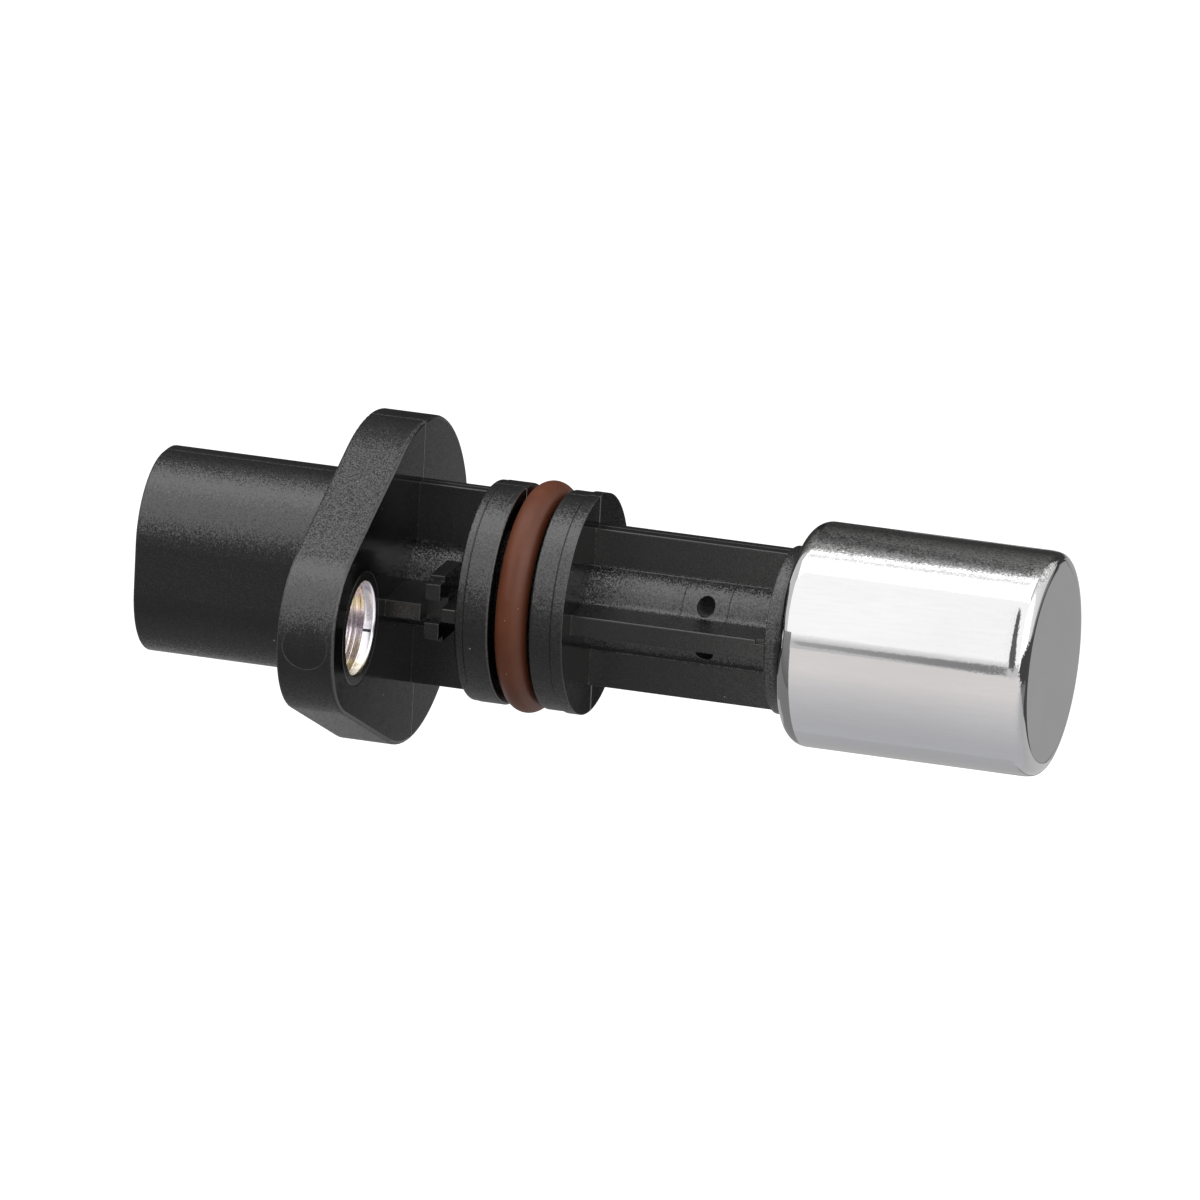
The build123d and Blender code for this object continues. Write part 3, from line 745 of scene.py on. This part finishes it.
def cap_finish():
    """Bright drawn stainless steel: nearly a mirror, with a fine grain towards the tip and a scuffed top."""
    material, tree, shader, place = new_finish("cap_steel")
    shader.inputs["Metallic"].default_value = 1.0
    along = split(tree, place)
    streak = use(tree, "drift", {"Place": place, "Patch mm": 0.30, "Stretch": (0.12, 1, 1)})
    grain = use(tree, "grain", {"Place": place, "Cell mm": 0.14, "Sharpness": 0.1})
    wave = use(tree, "drift", {"Place": place, "Patch mm": 9.0, "Stretch": (0.6, 1, 1)})
    patch = use(tree, "drift", {"Place": place, "Patch mm": 2.4, "Stretch": (0.5, 1, 1)})
    waved = relief(tree, wave["Tone"], 0.0015)
    grained = relief(tree, grain["Height"], 0.0003, waved)
    on_wall = ramp(tree, along["X"], *CAP_FACE_MM, 1.0, 0.0)
    to_tip = ramp(tree, along["X"], *CAP_GRAIN_MM, smooth=False)
    on_corner = ramp(tree, along["X"], *CAP_CORNER_MM)
    scuffed = calc(tree, "MULTIPLY", ramp(tree, along["Z"], *CAP_SCUFF_MM), on_wall)
    lean = calc(tree, "MULTIPLY_ADD", to_tip, 0.010, 0.008)
    lean = calc(tree, "MULTIPLY_ADD", on_corner, 0.030, lean)
    lean = calc(tree, "MULTIPLY", calc(tree, "MULTIPLY_ADD", scuffed, 0.03, lean), on_wall)
    lean = calc(tree, "MULTIPLY", lean, ramp(tree, patch["Tone"], 0.0, 1.0, 0.6, 1.4, smooth=False))
    flecks = {"Place": place, "Normal": grained, "Cell mm": 0.10, "Lean": lean, "Stray": 1.5}
    flecked = use(tree, "flecks", flecks)
    tree.links.new(flecked["Normal"], shader.inputs["Normal"])
    base = tint(tree, wave["Tone"], colour(0.490, 0.488, 0.495), colour(0.520, 0.518, 0.525))
    wiped = tint(tree, calc(tree, "MULTIPLY", streak["Tone"], 0.3), base, colour(0.46, 0.455, 0.455))
    speckle = put(tree, "ShaderNodeTexVoronoi", {"Vector": place, "Scale": 6.5, "Randomness": 1.0})
    shade = put(tree, "ShaderNodeSeparateColor", {"Color": speckle.outputs["Color"]}).outputs[0]
    specks = tint(tree, shade, colour(0.17, 0.17, 0.165), colour(0.78, 0.78, 0.775))
    blotch = calc(tree, "MULTIPLY", scuffed, ramp(tree, patch["Tone"], 0.2, 0.9, 0.55, 0.95))
    sanded = tint(tree, blotch, wiped, specks)
    tree.links.new(sanded, shader.inputs["Base Color"])
    rough = calc(tree, "MULTIPLY_ADD", grain["Glint"], 0.03, 0.05)
    tree.links.new(calc(tree, "MULTIPLY_ADD", streak["Tone"], 0.02, rough), shader.inputs["Roughness"])
    return material


def bush_finish():
    """Turned steel with a thin yellow and pink passivated plating. Its entry band carries painted light above
    and painted shade below, and its end face is painted dark as shade.
    """
    material, tree, shader, place = new_finish("plated_steel")
    shader.inputs["Metallic"].default_value = 1.0
    along = split(tree, place)
    patch = use(tree, "drift", {"Place": place, "Patch mm": 1.4, "Stretch": (1.5, 1, 1)})
    turned = use(tree, "drift", {"Place": place, "Patch mm": 0.45, "Stretch": (1, 0.03, 0.03)})
    grain = use(tree, "grain", {"Place": place, "Cell mm": 0.1, "Sharpness": 0.3})
    deep = ramp(tree, along["X"], *BUSH_DEEP_MM, 1.0, 0.0)
    marks = calc(tree, "MULTIPLY", turned["Tone"], deep)
    lines = relief(tree, marks, 0.024)
    tree.links.new(relief(tree, grain["Height"], 0.003, lines), shader.inputs["Normal"])
    ends = ramp(tree, calc(tree, "ABSOLUTE", along["Z"]), *BUSH_YELLOW_MM)
    ends = calc(tree, "MULTIPLY", ends, ramp(tree, deep, 0, 1, 0.5, 1.0))
    pinkish = tint(tree, patch["Tone"], colour(0.95, 0.78, 0.80), colour(0.86, 0.84, 0.95))
    marked = tint(tree, marks, pinkish, colour(0.56, 0.52, 0.55))
    # Painted light and shade: the entry band is painted near white above and grey below.
    upper = ramp(tree, along["Z"], *BUSH_ENTRY_SHADE_MM)
    entry = tint(tree, upper, colour(0.58, 0.57, 0.60), colour(0.96, 0.92, 0.98))
    plated = tint(tree, deep, entry, marked)
    yellowed = tint(tree, ends, plated, colour(0.80, 0.72, 0.42))
    slit = between(tree, along["Z"], *SLIT_HEIGHT_MM)
    slit = calc(tree, "MULTIPLY", slit, between(tree, along["X"], *SLIT_ALONG_MM))
    slit = calc(tree, "MULTIPLY", slit, calc(tree, "GREATER_THAN", along["Y"], SLIT_SIDE_MM))
    slitted = tint(tree, slit, yellowed, colour(0.03, 0.03, 0.035))
    # Painted shade: the bush's end face is painted dark.
    face_painted_dark = tint(tree, ramp(tree, along["X"], *BUSH_FACE_MM), slitted, colour(0.16, 0.155, 0.155))
    tree.links.new(face_painted_dark, shader.inputs["Base Color"])
    tree.links.new(calc(tree, "MULTIPLY_ADD", grain["Glint"], 0.14, 0.20), shader.inputs["Roughness"])
    return material


def plated_finish(name, low, high, roughness, cell_mm):
    """Plain plated metal with a fine grain and slow changes of tone."""
    material, tree, shader, place = new_finish(name)
    shader.inputs["Metallic"].default_value = 1.0
    grain = use(tree, "grain", {"Place": place, "Cell mm": cell_mm, "Sharpness": 0.3})
    drift = use(tree, "drift", {"Place": place, "Patch mm": 2.0, "Stretch": (0.4, 1, 1)})
    edge = use(tree, "edge", {"Radius": 0.00006})
    tree.links.new(relief(tree, grain["Height"], 0.004, edge["Normal"]), shader.inputs["Normal"])
    tree.links.new(tint(tree, drift["Tone"], colour(*low), colour(*high)), shader.inputs["Base Color"])
    tree.links.new(calc(tree, "MULTIPLY_ADD", grain["Glint"], 0.12, roughness), shader.inputs["Roughness"])
    return material


def resin_finish(name, low, high, roughness, cell_mm, depth_mm):
    """Cast or moulded resin, or laminate, with a fine surface."""
    material, tree, shader, place = new_finish(name)
    grain = use(tree, "grain", {"Place": place, "Cell mm": cell_mm, "Sharpness": 0.4})
    drift = use(tree, "drift", {"Place": place, "Patch mm": 3.0, "Stretch": (1, 1, 1)})
    edge = use(tree, "edge", {"Radius": 0.00006})
    tree.links.new(relief(tree, grain["Height"], depth_mm, edge["Normal"]), shader.inputs["Normal"])
    tree.links.new(tint(tree, drift["Tone"], colour(*low), colour(*high)), shader.inputs["Base Color"])
    tree.links.new(calc(tree, "MULTIPLY_ADD", drift["Tone"], 0.1, roughness), shader.inputs["Roughness"])
    return material


def component_finish(node, body_low, body_high):
    """A fired chip component: its body between two plated ends."""
    material, tree, shader, place = new_finish(f"{node}_finish")
    low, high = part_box(node)
    middle = (low.x + high.x) / 2 / MM
    half = (high.x - low.x) / 2 / MM
    off = calc(tree, "ABSOLUTE", calc(tree, "SUBTRACT", split(tree, place)["X"], middle))
    plated = calc(tree, "GREATER_THAN", off, half - CHIP_BAND_MM - 0.001)
    drift = use(tree, "drift", {"Place": place, "Patch mm": 0.6, "Stretch": (1, 1, 1)})
    grain = use(tree, "grain", {"Place": place, "Cell mm": 0.08, "Sharpness": 0.3})
    body = tint(tree, drift["Tone"], colour(*body_low), colour(*body_high))
    ends = tint(tree, drift["Tone"], colour(0.62, 0.61, 0.58), colour(0.74, 0.73, 0.71))
    tree.links.new(tint(tree, plated, body, ends), shader.inputs["Base Color"])
    tree.links.new(plated, shader.inputs["Metallic"])
    tree.links.new(calc(tree, "MULTIPLY_ADD", grain["Glint"], 0.15, 0.35), shader.inputs["Roughness"])
    tree.links.new(relief(tree, grain["Height"], 0.004), shader.inputs["Normal"])
    return material


# ---- pieces ----


def lathe(name, profile_mm, steps, centre_mm=(0, 0, 0)):
    """A closed solid of revolution about a line along X. The profile is a closed loop of (x, radius)."""
    mesh = bpy.data.meshes.new(name)
    shape = bmesh.new()
    rings = []
    for x, radius in profile_mm:
        if radius < 1e-6:
            rings.append([shape.verts.new(metres(x, centre_mm[1], centre_mm[2]))])
            continue
        ring = []
        for step in range(steps):
            angle = 2 * math.pi * step / steps
            y = centre_mm[1] + radius * math.cos(angle)
            z = centre_mm[2] + radius * math.sin(angle)
            ring.append(shape.verts.new(metres(x, y, z)))
        rings.append(ring)
    for first, second in zip(rings, rings[1:] + rings[:1]):
        if len(first) == 1 and len(second) == 1:
            continue
        for step in range(steps):
            after = (step + 1) % steps
            corners = [first[step % len(first)], first[after % len(first)]]
            corners += [second[after % len(second)], second[step % len(second)]]
            shape.faces.new(list(dict.fromkeys(corners)))
    bmesh.ops.recalc_face_normals(shape, faces=shape.faces)
    for face in shape.faces:
        face.smooth = True
    shape.to_mesh(mesh)
    shape.free()
    return add_object(name, mesh)


def arc(centre, radius, start, end, count):
    """Points of (x, radius) on an arc between two angles in degrees, measured from +X up."""
    angles = [math.radians(start + (end - start) * i / count) for i in range(count + 1)]
    return [(centre[0] + radius * math.cos(a), centre[1] + radius * math.sin(a)) for a in angles]


def tip_corner():
    """The drawn corner as points of length along, fall and angle. It bends gently at its ends."""
    points = [(0.0, 0.0, 0.0)]
    start = 0.0
    steps = 8
    for radius, end in CAP_TIP_BENDS:
        x, y, _ = points[-1]
        first = math.radians(start)
        for i in range(1, steps + 1):
            angle = start + (end - start) * i / steps
            turned = math.radians(angle)
            along = x + radius * (math.sin(turned) - math.sin(first))
            down = y + radius * (math.cos(first) - math.cos(turned))
            points.append((along, down, angle))
        start = end
    return points


def cap_outline(inset):
    """The cap's outside from the lip to the centre of its end face, or its inside at the given inset."""
    low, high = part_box("tip_cap")
    radius = high.z / MM
    tip_x = high.x / MM
    slope = math.radians(CAP_SWAGE_ANGLE)
    round_y = radius - CAP_SWAGE_ROUND_MM
    cone_height = round_y + CAP_SWAGE_ROUND_MM * math.sin(slope) - COLLAR_RADIUS_MM
    swage_x = low.x / MM + cone_height * math.tan(slope) + CAP_SWAGE_ROUND_MM * math.cos(slope)
    points = arc((swage_x, round_y), CAP_SWAGE_ROUND_MM - inset, 180 - CAP_SWAGE_ANGLE, 90, 14)
    corner = tip_corner()
    corner_x = tip_x - corner[-1][0]
    straight = 24
    points += [(swage_x + (corner_x - swage_x) * i / straight, radius - inset) for i in range(1, straight)]
    for along, down, angle in corner:
        turned = math.radians(angle)
        points.append((corner_x + along - inset * math.sin(turned), radius - down - inset * math.cos(turned)))
    face_radius = points[-1][1]
    rings = 8
    points += [(tip_x - inset, face_radius * (1 - i / rings)) for i in range(1, rings + 1)]
    return points


def make_cap():
    """The drawn cap, turned from its wall's outline, with an eased lip."""
    low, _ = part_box("tip_cap")
    lip_x = low.x / MM
    outer = cap_outline(0.0)
    inner = cap_outline(CAP_WALL_MM)
    slope = math.radians(CAP_SWAGE_ANGLE)
    ease = CAP_LIP_EASE_MM
    lip = [
        (lip_x + CAP_WALL_MM / math.cos(slope) - ease, COLLAR_RADIUS_MM),
        (lip_x + ease, COLLAR_RADIUS_MM),
        (lip_x + ease * 0.3, COLLAR_RADIUS_MM + ease * 0.5),
        (lip_x + ease * math.sin(slope) + ease * 0.2, COLLAR_RADIUS_MM + ease * 1.4),
    ]
    cap = lathe("cap_shell", lip + outer + list(reversed(inner)), 256)
    cap.data.materials.append(cap_finish())
    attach(cap, "root")
    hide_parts("tip_cap")


def make_bush():
    """The turned bush: chamfered ends, a smooth entry band and a grooved bore."""
    low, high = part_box("compression_limiter")
    centre_y = (low.y + high.y) / 2 / MM
    back, front = low.x / MM, high.x / MM
    groove_back = (back + front - BUSH_GROOVE_WIDTH_MM) / 2
    groove_front = (back + front + BUSH_GROOVE_WIDTH_MM) / 2
    outer = [
        (front - BUSH_FRONT_EDGE_MM, BUSH_RADIUS_MM),
        (groove_front, BUSH_RADIUS_MM),
        (groove_front, BUSH_RADIUS_MM - BUSH_GROOVE_DEPTH_MM),
        (groove_back, BUSH_RADIUS_MM - BUSH_GROOVE_DEPTH_MM),
        (groove_back, BUSH_RADIUS_MM),
        (back + BUSH_EDGE_MM, BUSH_RADIUS_MM),
        (back, BUSH_RADIUS_MM - BUSH_EDGE_MM),
        (back, BORE_RADIUS_MM + BUSH_CHAMFER_MM),
        (back + BUSH_CHAMFER_MM, BORE_RADIUS_MM),
    ]
    start = back + BUSH_CHAMFER_MM
    entry = front - BUSH_ENTRY_MM
    bore = []
    for i in range(1, BUSH_TURNS):
        x = start + (entry - start) * i / BUSH_TURNS
        bore.append((x, BORE_RADIUS_MM + (BUSH_TURN_DEPTH_MM if i % 2 else 0.0)))
    bore += [
        (entry, BORE_RADIUS_MM),
        (entry + BUSH_ENTRY_STEP_MM, BORE_RADIUS_MM + BUSH_ENTRY_STEP_MM),
        (front - 0.25, BORE_RADIUS_MM + BUSH_ENTRY_STEP_MM),
        (front - BUSH_CHAMFER_MM, BORE_RADIUS_MM + 0.05),
        (front, BORE_RADIUS_MM + BUSH_CHAMFER_MM),
        (front, BORE_RADIUS_MM + 0.23),
        (front, BUSH_RADIUS_MM - 0.08),
        (front, BUSH_RADIUS_MM - BUSH_FRONT_EDGE_MM),
    ]
    bush = lathe("load_bush", outer + bore, 160, (0, centre_y, 0))
    bush.data.materials.append(bush_finish())
    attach(bush, "root")
    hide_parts("compression_limiter")


def make_ring_tree():
    """Geometry Nodes for the seal ring: a round section with a thin flash line, swept round a circle."""
    tree = bpy.data.node_groups.new("seal_ring_sweep", "GeometryNodeTree")
    tree.interface.new_socket(name="Geometry", in_out="INPUT", socket_type="NodeSocketGeometry")
    for label in ("Ring Radius", "Section Radius", "Flash Height"):
        tree.interface.new_socket(name=label, in_out="INPUT", socket_type="NodeSocketFloat")
    tree.interface.new_socket(name="Rubber", in_out="INPUT", socket_type="NodeSocketMaterial")
    tree.interface.new_socket(name="Geometry", in_out="OUTPUT", socket_type="NodeSocketGeometry")
    given = tree.nodes.new("NodeGroupInput").outputs
    made = tree.nodes.new("NodeGroupOutput").inputs
    circle = "GeometryNodeCurvePrimitiveCircle"
    path = put(tree, circle, {"Resolution": 200, "Radius": given["Ring Radius"]})
    section = put(tree, circle, {"Resolution": 96, "Radius": given["Section Radius"]})
    where = put(tree, "GeometryNodeInputPosition").outputs[0]
    share = calc(tree, "DIVIDE", split(tree, where)["X"], given["Section Radius"])
    near = ramp(tree, calc(tree, "ABSOLUTE", share), 0.05, 0.0)
    rise = calc(tree, "MULTIPLY", near, given["Flash Height"])
    shift = scaled(tree, vector_calc(tree, "NORMALIZE", where), rise)
    seam_painted_light = put(tree, "GeometryNodeSetPosition", {"Geometry": section.outputs["Curve"], "Offset": shift})
    sweep = {"Curve": path.outputs["Curve"], "Profile Curve": seam_painted_light.outputs[0]}
    swept = put(tree, "GeometryNodeCurveToMesh", sweep)
    smooth = put(tree, "GeometryNodeSetShadeSmooth", {"Geometry": swept.outputs[0]})
    real = put(tree, "GeometryNodeRealizeInstances", {"Geometry": smooth.outputs[0]})
    dressed = put(tree, "GeometryNodeSetMaterial", {"Geometry": real.outputs[0], "Material": given["Rubber"]})
    tree.links.new(dressed.outputs[0], made["Geometry"])
    return tree


def grown(name, tree, values):
    """The plain mesh that a Geometry Nodes tree makes with the given input values."""
    carrier = add_object(f"{name}_source", bpy.data.meshes.new(f"{name}_source"))
    modifier = carrier.modifiers.new(name, "NODES")
    modifier.node_group = tree
    for item in tree.interface.items_tree:
        if item.item_type == "SOCKET" and item.in_out == "INPUT" and item.name in values:
            modifier[item.identifier] = values[item.name]
    graph = bpy.context.evaluated_depsgraph_get()
    result = carrier.evaluated_get(graph)
    mesh = bpy.data.meshes.new_from_object(result, preserve_all_data_layers=True, depsgraph=graph)
    bpy.data.objects.remove(carrier)
    mesh.name = name
    return add_object(name, mesh)


def make_ring():
    """The seal ring in its groove."""
    low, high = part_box("o_ring")
    section = RING_SECTION_MM * MM / 2
    values = {
        "Ring Radius": high.z - section,
        "Section Radius": section,
        "Flash Height": RING_FLASH_MM * MM,
        "Rubber": rubber_finish(),
    }
    ring = grown("seal_ring", make_ring_tree(), values)
    across_axis = Matrix.Rotation(math.pi / 2, 4, "Y")
    ring.data.transform(Matrix.Translation(((low.x + high.x) / 2, 0, 0)) @ across_axis)
    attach(ring, "root")
    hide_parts("o_ring")


def dress(node, material):
    """Gives a CAD node its finish."""
    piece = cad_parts[node]
    if piece.data.materials:
        piece.data.materials[0] = material
    else:
        piece.data.materials.append(material)


def dress_solids():
    """Finishes for every solid that is shown as it is."""
    dress("housing", housing_finish())
    dress("element_carrier", carrier_finish())
    tinned = plated_finish("terminal_metal", (0.62, 0.60, 0.54), (0.74, 0.72, 0.66), 0.22, 0.1)
    for name in ("terminal_supply", "terminal_signal", "terminal_ground"):
        dress(name, tinned)
    laminate = resin_finish("board_laminate", (0.012, 0.075, 0.03), (0.02, 0.11, 0.045), 0.3, 0.3, 0.004)
    dress("circuit_board", laminate)
    moulded = resin_finish("chip_resin", (0.010, 0.010, 0.011), (0.018, 0.018, 0.019), 0.5, 0.09, 0.006)
    for name in ("signal_chip", "sensing_element_upper", "sensing_element_lower"):
        dress(name, moulded)
    for name in ("supply_capacitor", "ground_capacitor", "signal_capacitor"):
        dress(name, component_finish(name, (0.30, 0.19, 0.10), (0.38, 0.25, 0.14)))
    for name in ("pull_up_resistor", "series_resistor", "protection_diode"):
        dress(name, component_finish(name, (0.014, 0.014, 0.016), (0.024, 0.024, 0.028)))
    dress("bias_magnet", plated_finish("magnet_metal", (0.50, 0.49, 0.46), (0.60, 0.59, 0.56), 0.24, 0.15))
    dress("pole_plate", plated_finish("pole_iron", (0.42, 0.41, 0.40), (0.52, 0.51, 0.50), 0.32, 0.2))
    resin = resin_finish("potting_resin", (0.016, 0.013, 0.010), (0.026, 0.021, 0.016), 0.18, 0.8, 0.01)
    dress("potting", resin)


make_camera()
make_studio()
make_cap()
make_bush()
make_ring()
dress_solids()

bpy.context.scene.view_settings.view_transform = "Standard"
